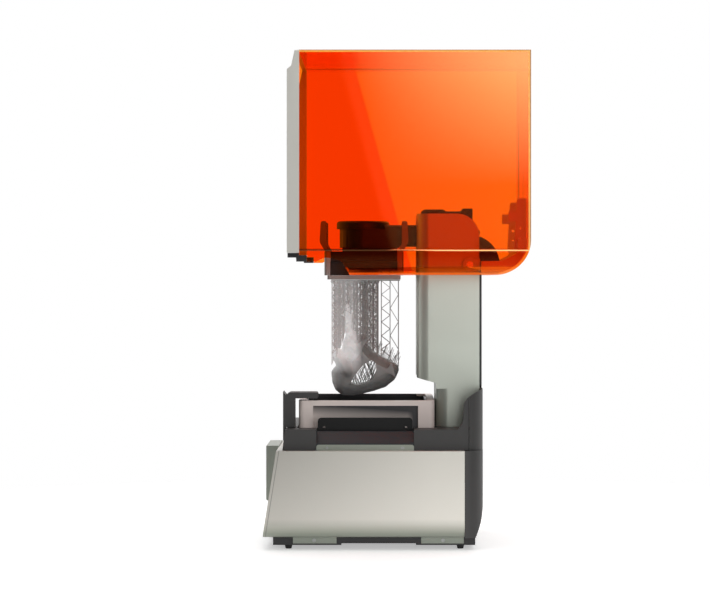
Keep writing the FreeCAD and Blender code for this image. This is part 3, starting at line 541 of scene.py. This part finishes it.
FINISHES = {
    "champagne_metal": coated_metal("champagne_metal", (0.70, 0.685, 0.63), 0.40, 0.6),
    "tower_metal": coated_metal("tower_metal", SAGE, 0.36, 0.6),
    "charcoal_plastic": moulded("charcoal_plastic", CHARCOAL, 0.5),
    "black_plastic": moulded("black_plastic", (0.012, 0.012, 0.013), 0.42),
    "black_metal": coated_metal("black_metal", (0.012, 0.012, 0.013), 0.4, 0.2),
    "orange_cover": clear_orange("orange_cover"),
    "tank_plastic": moulded(
        "tank_plastic", (0.76, 0.665, 0.62), 0.42, 0.00005, 1800, shade=tank_recess_shadow),
    "rubber": rubbery("rubber", (0.010, 0.010, 0.010)),
    "screw_steel": brushed_metal("screw_steel", (0.34, 0.35, 0.34), 0.32, (40, 40, 40)),
    "bright_steel": brushed_metal("bright_steel", (0.62, 0.62, 0.62), 0.22, (40, 40, 1)),
    "raw_aluminium": brushed_metal("raw_aluminium", (0.62, 0.63, 0.64), 0.36, (1, 40, 40)),
    "platform_metal": brushed_metal("platform_metal", (0.30, 0.27, 0.255), 0.42, (40, 1, 40), 0.55),
    "brass": brushed_metal("brass", (0.72, 0.50, 0.20), 0.28, (40, 40, 1)),
    "screen_glass": dark_glass("screen_glass"),
    "film": clear_film("film"),
    "print_resin": cured_resin("print_resin"),
    "circuit_board": board_green("circuit_board"),
    "motor_metal": brushed_metal("motor_metal", (0.12, 0.12, 0.125), 0.38, (1, 1, 40), 0.8),
    "belt_rubber": rubbery("belt_rubber", (0.014, 0.014, 0.014)),
    "grey_plastic": moulded("grey_plastic", (0.23, 0.21, 0.20), 0.45),
}
EDGE = painted_glow_edge("painted_glow_acrylic_edge")
OWN_FINISH = {
    "side_panel_right": coated_metal("panel_metal", CHAMPAGNE, 0.40, 0.6, panel_shade),
    "rear_cover": moulded("rear_shell", CHARCOAL, 0.5, shade=rear_strip),
    "hinge_cheeks": moulded("cheek_plastic", (0.86, 0.60, 0.54), 0.4),
    "platform_body": brushed_metal(
        "platform_sides", (0.30, 0.27, 0.255), 0.42, (40, 1, 40), 0.5, dark_middle),
    "tank_brackets": moulded("bracket_black", (0.0035, 0.0035, 0.0035), 0.45, gloss=0.25),
    "chassis_frame": coated_metal("chassis_metal", SAGE, 0.36, 0.6, tab_shade),
    "tower_shell": coated_metal("tower_skin", SAGE, 0.36, 0.6, tower_foot_shade),
    "screen_housing": coated_metal("housing_metal", (0.36, 0.39, 0.335), 0.40, 0.5),
    "deck_tray": moulded("deck_plastic", CHARCOAL, 0.5, shade=deck_side),
}
OWN_FINISH["side_panel_left"] = OWN_FINISH["side_panel_right"]
DISPLAY = display("display_glass")
TRUSS = cured_resin("truss_resin", (0.30, 0.285, 0.275), (0.50, 0.48, 0.47), 0.30)
LATTICE = cured_resin("lattice_resin", (0.62, 0.61, 0.60), (0.80, 0.79, 0.78))


# ---- making pieces -------------------------------------------------------

def new_piece(name, shape, body, materials, replaced=(), smooth=35.0):
    """Turn a bmesh into a finished object that rides on a body."""
    mesh = bpy.data.meshes.new(name)
    shape.to_mesh(mesh)
    shape.free()
    for material in materials:
        mesh.materials.append(material)
    mesh.shade_smooth()
    mesh.set_sharp_from_angle(angle=math.radians(smooth))
    piece = bpy.data.objects.new(name, mesh)
    scene.collection.objects.link(piece)
    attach(piece, body)
    if replaced:
        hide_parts(*replaced)
    return piece


def merged_copy(node):
    """The node's surface as one clean mesh with flat faces made whole."""
    shape = bmesh.new()
    shape.from_mesh(nodes[node].data)
    bmesh.ops.remove_doubles(shape, verts=shape.verts, dist=0.000002)
    bmesh.ops.dissolve_limit(
        shape, angle_limit=math.radians(0.6), verts=shape.verts, edges=shape.edges,
        use_dissolve_boundaries=False)
    return shape


def soften(shape, width, steep=28.0, segments=2):
    """Round the hard edges a little, as tooling and paint do."""
    limit = math.radians(steep)
    sharp = []
    for edge in shape.edges:
        if len(edge.link_faces) == 2 and edge.calc_face_angle(0.0) > limit and edge.calc_length() > width:
            sharp.append(edge)
    if sharp:
        bmesh.ops.bevel(
            shape, geom=sharp, offset=width, offset_type="OFFSET", segments=segments,
            profile=0.5, affect="EDGES", clamp_overlap=True, material=-1)


BODY_OF = {}
for body_name, members in frame["record"]["behaviour"]["bodies"].items():
    for member in members:
        BODY_OF[member] = body_name
SLOT_OF = {entry["node"]: entry["material_slot"] for entry in frame["record"]["subparts"]}


def refined(node, width):
    """A node's own shape with softened edges and clean shading."""
    shape = merged_copy(node)
    soften(shape, width)
    slot = SLOT_OF[node]
    name = node + "_finished"
    finish = OWN_FINISH.get(node, FINISHES[slot])
    piece = new_piece(name, shape, BODY_OF[node], [finish], [node])
    weigh = piece.modifiers.new("even_shading", "WEIGHTED_NORMAL")
    weigh.keep_sharp = True
    return piece


# Width of the rounded edges, millimetres
SOFTENED = {
    "side_panel_right": 0.5, "side_panel_left": 0.5, "front_panel": 0.5, "screen_housing": 1.0,
    "deck_tray": 0.8, "tank_brackets": 0.5, "rear_cover": 0.7, "rear_panel": 0.4,
    "tower_shell": 0.7, "tower_rear_plate": 0.5, "tower_cap": 0.9, "arm": 1.2, "lock_knob": 0.8,
    "platform_body": 0.7, "platform_plate": 0.4, "flex_handle_front": 0.9, "flex_handle_rear": 0.9,
    "tank_body": 1.0, "film_frame": 0.5, "mixer_arm": 0.8, "platform_webs": 0.4,
    "mixer_paddle": 0.4, "cover_skirt": 0.4, "cover_end_caps": 0.5, "hinge_arms": 0.5,
    "hinge_shields": 0.5, "hinge_cheeks": 0.9, "base_pan": 0.5, "chassis_frame": 0.3,
    "rubber_feet": 0.6, "power_inlet": 0.4, "power_switch": 0.5, "z_carriage": 0.6, "z_motor": 0.6,
    "tower_frame": 0.4, "fan_frame": 0.4, "motor_coupling": 0.3, "light_engine": 0.5,
}


def paint_cad():
    """Give every node the finish of its slot."""
    for node, item in nodes.items():
        item.data.materials.clear()
        item.data.materials.append(FINISHES[SLOT_OF[node]])


# ---- cover ---------------------------------------------------------------

def acrylic_cover():
    """The clear walls, with their sawn edges and the joints between the walls given a painted glow."""
    shape = merged_copy("cover_shell")
    low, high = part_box("cover_shell")
    wall = 4 * MM
    for place, way in (((0, 0, high.z - wall), (0, 0, 1)), ((0, high.y - wall, 0), (0, 1, 0))):
        bmesh.ops.bisect_plane(
            shape, geom=shape.verts[:] + shape.edges[:] + shape.faces[:],
            plane_co=place, plane_no=way, dist=1e-6)
    flank = high.x - wall / 2
    slot_zone = 0.15
    for face in shape.faces:
        middle, normal = face.calc_center_median(), face.normal
        joint_band = abs(middle.x) > flank and (middle.z > high.z - wall or middle.y > high.y - wall)
        slot_side = abs(normal.x) > 0.9 and abs(middle.x) < slot_zone
        mouth = normal.y < -0.2 and middle.y < low.y + 0.115 and abs(normal.x) < 0.7
        slot_end = normal.z < -0.9 and abs(middle.z - SLOT_END) < MM
        if joint_band or slot_side or mouth or slot_end:
            face.material_index = 1
    soften(shape, 0.5 * MM, 50.0)
    piece = new_piece("clear_cover", shape, "cover",
                      [FINISHES["orange_cover"], EDGE], ["cover_shell"], 30.0)
    weigh = piece.modifiers.new("even_shading", "WEIGHTED_NORMAL")
    weigh.keep_sharp = True


# ---- the print and its supports ------------------------------------------

def strut(shape, start, end, radius, sides=5):
    """A thin post between two points."""
    start, end = Vector(start), Vector(end)
    way = end - start
    turn = way.to_track_quat("Z", "Y").to_matrix().to_4x4()
    bmesh.ops.create_cone(
        shape, cap_ends=True, segments=sides, radius1=radius, radius2=radius, depth=way.length,
        matrix=Matrix.Translation((start + end) / 2) @ turn)


# Outline of the print's lower shell as seen from the side, metres
SHELL_OUTLINE = [
    (-0.0605, 0.3500), (-0.0520, 0.3370), (-0.0400, 0.3230), (-0.0283, 0.3150), (-0.0100, 0.3055),
    (0.0030, 0.2985), (0.0052, 0.2900), (-0.0028, 0.2740), (-0.0175, 0.2615), (-0.0400, 0.2540),
    (-0.0596, 0.2490), (-0.0767, 0.2462), (-0.0920, 0.2470), (-0.1040, 0.2560), (-0.1095, 0.2700),
    (-0.1110, 0.2880), (-0.1000, 0.3010), (-0.0850, 0.3080), (-0.0780, 0.3290), (-0.0700, 0.3440),
]
WINDOW = [(-0.0800, 0.2665), (-0.0690, 0.2850), (-0.0540, 0.3020), (-0.0420, 0.3075), (-0.0350, 0.3030),
          (-0.0340, 0.2900), (-0.0390, 0.2780), (-0.0500, 0.2690), (-0.0650, 0.2650)]


def blob(shape, centre, size, turn=0.0):
    """A stretched ball, leaning about the X axis."""
    place = Matrix.Translation(centre) @ Matrix.Rotation(turn, 4, "X") @ Matrix.Diagonal((*size, 1))
    bmesh.ops.create_uvsphere(shape, u_segments=32, v_segments=20, radius=1.0, matrix=place)


def pillow(shape, outline, half):
    """A crowned slab with a given side outline, swollen towards its middle."""
    ring = [shape.verts.new((0, y, z)) for y, z in outline]
    face = shape.faces.new(ring)
    both = bmesh.ops.extrude_face_region(shape, geom=[face])
    moved = [item for item in both["geom"] if isinstance(item, bmesh.types.BMVert)]
    for verts, side in ((ring, -1), (moved, 1)):
        for vert in verts:
            vert.co.x += side * half * 0.45
    shape.normal_update()
    tops = [item for item in shape.faces if len(item.verts) == len(outline)]
    for inset, rise in ((0.006, 0.30), (0.008, 0.2), (0.008, 0.06)):
        for top in tops:
            side = 1 if top.calc_center_median().x > 0 else -1
            bmesh.ops.inset_region(shape, faces=[top], thickness=inset, use_even_offset=True)
            for vert in top.verts:
                vert.co.x += side * half * rise


def loose_object(name, shape):
    """A bmesh as a plain object that is only worked on."""
    bmesh.ops.recalc_face_normals(shape, faces=shape.faces)
    mesh = bpy.data.meshes.new(name)
    shape.to_mesh(mesh)
    shape.free()
    item = bpy.data.objects.new(name, mesh)
    scene.collection.objects.link(item)
    return item


def window_cutter():
    """A bar with the window's outline, long enough to pass through the print."""
    start, reach = -0.2, 0.4
    shape = bmesh.new()
    ring = [shape.verts.new((start, y, z)) for y, z in WINDOW]
    moved = bmesh.ops.extrude_face_region(shape, geom=[shape.faces.new(ring)])
    for vert in [item for item in moved["geom"] if isinstance(item, bmesh.types.BMVert)]:
        vert.co.x += reach
    return loose_object("window_cutter", shape)


def squashed(piece):
    """Gives the piece its own copy of its mesh."""
    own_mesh(piece)


def printed_shape():
    """A free-form print: a crowned lower shell with a window, and a bony column above its front."""
    half_width = 0.046
    rough_front, rough_foot = -0.060, 0.305
    calm = 0.12
    shape = bmesh.new()
    pillow(shape, SHELL_OUTLINE, half_width)
    blob(shape, (0.030, -0.0790, 0.356), (0.014, 0.0078, 0.050), 0.10)
    blob(shape, (0.030, -0.0775, 0.330), (0.020, 0.0150, 0.026), -0.2)
    blob(shape, (0.030, -0.0900, 0.300), (0.030, 0.0120, 0.030), 0.5)
    lump = loose_object("print_lump", shape)
    cutter = window_cutter()
    remesh = lump.modifiers.new("one_skin", "REMESH")
    remesh.mode = "VOXEL"
    remesh.voxel_size = 0.0017
    smooth = lump.modifiers.new("flow", "SMOOTH")
    smooth.factor, smooth.iterations = 0.7, 12
    cut = lump.modifiers.new("window", "BOOLEAN")
    cut.operation, cut.object, cut.solver = "DIFFERENCE", cutter, "EXACT"
    graph = bpy.context.evaluated_depsgraph_get()
    finished = bmesh.new()
    finished.from_object(lump, graph)
    for item in (lump, cutter):
        data = item.data
        bpy.data.objects.remove(item)
        bpy.data.meshes.remove(data)
    for vert in finished.verts:
        wild = 1.0 if vert.co.y < rough_front and vert.co.z > rough_foot else calm
        lift = noise.noise(vert.co * 90) * 0.0040 + noise.noise(vert.co * 230) * 0.0026
        vert.co += vert.normal * lift * wild
        vert.co.z = max(vert.co.z, print_floor)
    piece = new_piece("print_shape", finished, "platform",
                      [FINISHES["print_resin"]], ["print_model"], 60.0)
    squashed(piece)


def shell_top(y):
    """Height of the print's upper side at a given depth."""
    column = [(-0.112, 0.30), (-0.098, 0.325), (-0.088, 0.355), (-0.083, 0.392), (-0.076, 0.390),
              (-0.071, 0.350), (-0.0605, 0.342), (-0.0283, 0.3150), (0.006, 0.298)]
    for (y0, z0), (y1, z1) in zip(column, column[1:]):
        if y0 <= y <= y1:
            return z0 + (z1 - z0) * (y - y0) / (y1 - y0)
    return column[-1][1]


def truss(shape, first, second, top, rise, radius):
    """Diagonals that zigzag down between two neighbouring posts."""
    low = max(first[2], second[2])
    count = int((top - low) / rise)
    ends = (first, second)
    for step in range(count):
        a, b = ends[step % 2], ends[(step + 1) % 2]
        strut(shape, (a[0], a[1], top - step * rise), (b[0], b[1], top - (step + 1) * rise), radius, 4)


def upright(shape, post, top, radius, sides=5):
    """One straight support from the print up to the raft."""
    strut(shape, post, (post[0], post[1], top), radius, sides)


def raft_slab(shape, top):
    """The thin slab that holds the supports to the build plate."""
    width, thickness = 0.150, 0.0021
    middle = Vector((0, (raft_low.y + raft_high.y) / 2, top + 0.0010))
    size = Vector((width, raft_high.y - raft_low.y, thickness))
    for vert in bmesh.ops.create_cube(shape, size=1.0)["verts"]:
        vert.co = Vector([a * b for a, b in zip(vert.co, size)]) + middle


def close_rows(shape, top, rng):
    """Eight rows of thin posts, laced together, over the print's front and middle."""
    depths = [-0.1085, -0.1035, -0.098, -0.092, -0.0855, -0.079, -0.0725, -0.066,
              -0.060, -0.0545, -0.049, -0.0435, -0.038, -0.0325]
    rows, first_row, row_gap = 8, -0.052, 0.015
    post_radius, lace_radius, foot_height = 0.00045, 0.00040, 0.004
    for row in range(rows):
        x = first_row + row * row_gap
        posts = []
        for y in depths:
            spot = (x + rng.uniform(-0.004, 0.004), y + rng.uniform(-0.0026, 0.0026))
            posts.append((*spot, shell_top(spot[1]) - 0.004))
        for post in posts:
            upright(shape, post, top, post_radius, 4)
            bmesh.ops.create_cone(
                shape, cap_ends=True, segments=6, radius1=0.0009, radius2=0.0022, depth=foot_height,
                matrix=Matrix.Translation((post[0], post[1], top - foot_height / 2)))
        for first, second in zip(posts, posts[1:]):
            if abs(first[1] - second[1]) < 0.02:
                truss(shape, first, second, top, rng.uniform(0.006, 0.011), lace_radius)


def open_rows(shape, top):
    """Two rows of thicker posts with wide diagonals over the print's rear."""
    post_radius, lace_radius = 0.0008, 0.00045
    for x in (-0.012, 0.016):
        posts = [(x, y, shell_top(y) - 0.003) for y in (-0.0255, -0.0105, 0.0038)]
        for post in posts:
            upright(shape, post, top, post_radius)
        truss(shape, posts[0], posts[1], top, 0.0118, lace_radius)
        truss(shape, posts[1], posts[2], top, 0.0235, lace_radius)


def branches(shape, rng):
    """Short slanted twigs along the print's rear edge."""
    count, start, gap = 26, -0.034, 0.0014
    for step in range(count):
        y = start + step * gap
        x = rng.uniform(-0.03, 0.03)
        rise = 0.016 + 0.006 * math.sin(step * 0.9)
        foot = (x, y, shell_top(y) - 0.002)
        strut(shape, foot, (x * 0.6, y + 0.006, shell_top(y) + rise), 0.0005, 4)


def support_field():
    """Posts and diagonals between the raft and the print, close in front, open at the rear."""
    rng = random.Random(7)
    shape = bmesh.new()
    top = raft_high.z - 0.0022
    raft_slab(shape, top)
    close_rows(shape, top, rng)
    open_rows(shape, top)
    branches(shape, rng)
    piece = new_piece("support_trusses", shape, "platform",
                      [TRUSS], ["print_supports"], 40.0)
    squashed(piece)


def window_lattice():
    """Crossed struts that show through the print's window."""
    rng = random.Random(11)
    shape = bmesh.new()
    layers, first_layer, layer_gap = 4, -0.020, 0.012
    across, first_strut, strut_gap = 12, -0.080, 0.0042
    low, high, radius = 0.2655, 0.306, 0.00055
    for layer in range(layers):
        x = first_layer + layer * layer_gap
        for step in range(across):
            y = first_strut + step * strut_gap
            lean = rng.choice((-1, 1)) * rng.uniform(0.010, 0.024)
            strut(shape, (x, y, low), (x + rng.uniform(-0.004, 0.004), y + lean, high), radius, 4)
    squashed(new_piece("print_lattice", shape, "platform", [LATTICE]))


# ---- small details -------------------------------------------------------

def screen_face():
    """The touch screen with its plain display lit."""
    shape = merged_copy("touch_screen")
    soften(shape, 0.3 * MM)
    new_piece("screen_face", shape, "base", [DISPLAY], ["touch_screen"])


def countersunk(shape, centre, way, radius):
    """One flat screw head with a round sunken socket."""
    turn = Vector(way).to_track_quat("Z", "Y").to_matrix().to_4x4()
    place = Matrix.Translation(centre) @ turn
    head = bmesh.ops.create_cone(
        shape, cap_ends=True, segments=32, radius1=radius, radius2=radius * 0.93,
        depth=radius * 0.3, matrix=place)["verts"]
    outward = Vector(way)
    faces = {face for vert in head for face in vert.link_faces}
    cap = max(faces, key=lambda face: face.normal.dot(outward) * len(face.verts))
    bmesh.ops.inset_region(shape, faces=[cap], thickness=radius * 0.45, depth=0)
    bmesh.ops.inset_region(shape, faces=[cap], thickness=radius * 0.06, depth=-radius * 0.22)


def panel_fasteners():
    """Screw heads with sockets in place of the plain ones in the side panels' tabs."""
    shape = bmesh.new()
    screws = merged_copy("panel_screws")
    groups = {}
    for vert in screws.verts:
        spot = (1 if vert.co.x > 0 else -1, round(vert.co.y / 0.02), round(vert.co.z / 0.05))
        groups.setdefault(spot, []).append(vert.co.copy())
    screws.free()
    sunk = 0.12
    for (side, *rest), places in groups.items():
        lows = [min(place[axis] for place in places) for axis in range(3)]
        highs = [max(place[axis] for place in places) for axis in range(3)]
        radius = (highs[2] - lows[2]) / 2
        x = highs[0] if side > 0 else lows[0]
        centre = (x - side * radius * sunk, (lows[1] + highs[1]) / 2, (lows[2] + highs[2]) / 2)
        countersunk(shape, centre, (side, 0, 0), radius)
    new_piece("panel_screw_heads", shape, "base",
              [FINISHES["screw_steel"]], ["panel_screws"])


# ---- light, floor and camera ---------------------------------------------

def sky():
    """White all round the machine, dim on the camera's side so that dark parts stay dark."""
    white_until, dim_from, dim = 0.34, 0.72, 0.10
    world = bpy.data.worlds.new("studio")
    scene.world = world
    world.use_nodes = True
    tree = world.node_tree
    tree.nodes.clear()
    output = tree.nodes.new("ShaderNodeOutputWorld")
    background = tree.nodes.new("ShaderNodeBackground")
    spot = tree.nodes.new("ShaderNodeTexCoord")
    split = tree.nodes.new("ShaderNodeSeparateXYZ")
    half = tree.nodes.new("ShaderNodeMath")
    half.operation = "MULTIPLY_ADD"
    half.inputs[1].default_value = 0.5
    half.inputs[2].default_value = 0.5
    ramp = tree.nodes.new("ShaderNodeValToRGB")
    white_end, dim_end = ramp.color_ramp.elements
    white_end.position, white_end.color = white_until, (1.0, 1.0, 1.0, 1)
    dim_end.position, dim_end.color = dim_from, (dim, dim, dim, 1)
    background.inputs[1].default_value = 1.0
    tree.links.new(spot.outputs["Generated"], split.inputs[0])
    tree.links.new(split.outputs["X"], half.inputs[0])
    tree.links.new(half.outputs[0], ramp.inputs[0])
    tree.links.new(ramp.outputs[0], background.inputs[0])
    tree.links.new(background.outputs[0], output.inputs[0])


def floor():
    """A pale floor that fades out into the white sky."""
    half_size = 8.0
    solid_until, fade_width = 0.45, 0.9
    shape = bmesh.new()
    bmesh.ops.create_grid(shape, x_segments=2, y_segments=2, size=half_size)
    mesh = bpy.data.meshes.new("floor")
    shape.to_mesh(mesh)
    shape.free()
    item = bpy.data.objects.new("floor", mesh)
    scene.collection.objects.link(item)
    finish = Finish("pale_floor")
    soft = finish.grain(2.0, 2)
    across, along = finish.axis("X"), finish.axis("Y")
    away = (across * across + along * along) ** 0.5
    mesh.materials.append(finish.look(
        base=finish.blend(soft, (0.90, 0.90, 0.90), (0.92, 0.92, 0.92)),
        rough=0.6,
        gloss=0.15,
        glow=finish.blend(soft, (1.0, 1.0, 1.0), (0.99, 0.99, 0.99)),
        glow_strength=0.42,
        alpha=1.0 - ((away - solid_until) / fade_width).held(),
    ))


def area_light(name, place, target, size, power, roll=0.0):
    """A soft rectangular light that the camera doesn't see."""
    data = bpy.data.lights.new(name, "AREA")
    data.shape = "RECTANGLE"
    data.size, data.size_y = size
    data.energy = power
    light = bpy.data.objects.new(name, data)
    scene.collection.objects.link(light)
    way = Vector(target) - Vector(place)
    turn = way.to_track_quat("-Z", "Y").to_matrix().to_4x4()
    light.matrix_world = Matrix.Translation(place) @ turn @ Matrix.Rotation(roll, 4, "Z")
    light.visible_camera = False


def lights():
    """A tall card beside the camera does most of the lighting; three soft lights fill in."""
    card_roll = math.radians(15.2)
    area_light("side_card", (6.0, 1.52, 1.45), (0.0, 1.52, 1.45), (3.4, 4.4), 92, card_roll)
    area_light("low_card", (4.4, 2.6, 0.5), (0.0, 0.0, 0.1), (1.6, 1.6), 20)
    area_light("top_soft", (0.9, -0.3, 3.4), (0.0, 0.0, 0.3), (3.0, 3.0), 30)
    area_light("back_soft", (-2.8, 1.0, 2.2), (0.0, 0.0, 0.4), (2.2, 2.2), 20)


CAMERA_AWAY = 4.2


def camera():
    """Square side view from the right, a little above the middle of the machine."""
    long_lens = 129.9
    data = bpy.data.cameras.new("camera")
    data.sensor_width = 36.0
    data.lens = long_lens
    data.shift_x = -0.0465
    data.shift_y = -0.0310
    data.clip_end = 60.0
    item = bpy.data.objects.new("camera", data)
    scene.collection.objects.link(item)
    item.location = (near_side + CAMERA_AWAY, -0.0141, 0.4475)
    item.rotation_euler = (math.radians(90), 0, math.radians(90))
    scene.camera = item


scene.view_settings.view_transform = "Standard"
paint_cad()
for node, width in SOFTENED.items():
    refined(node, width * MM)
acrylic_cover()
screen_face()
panel_fasteners()
printed_shape()
support_field()
window_lattice()
sky()
floor()
lights()
camera()
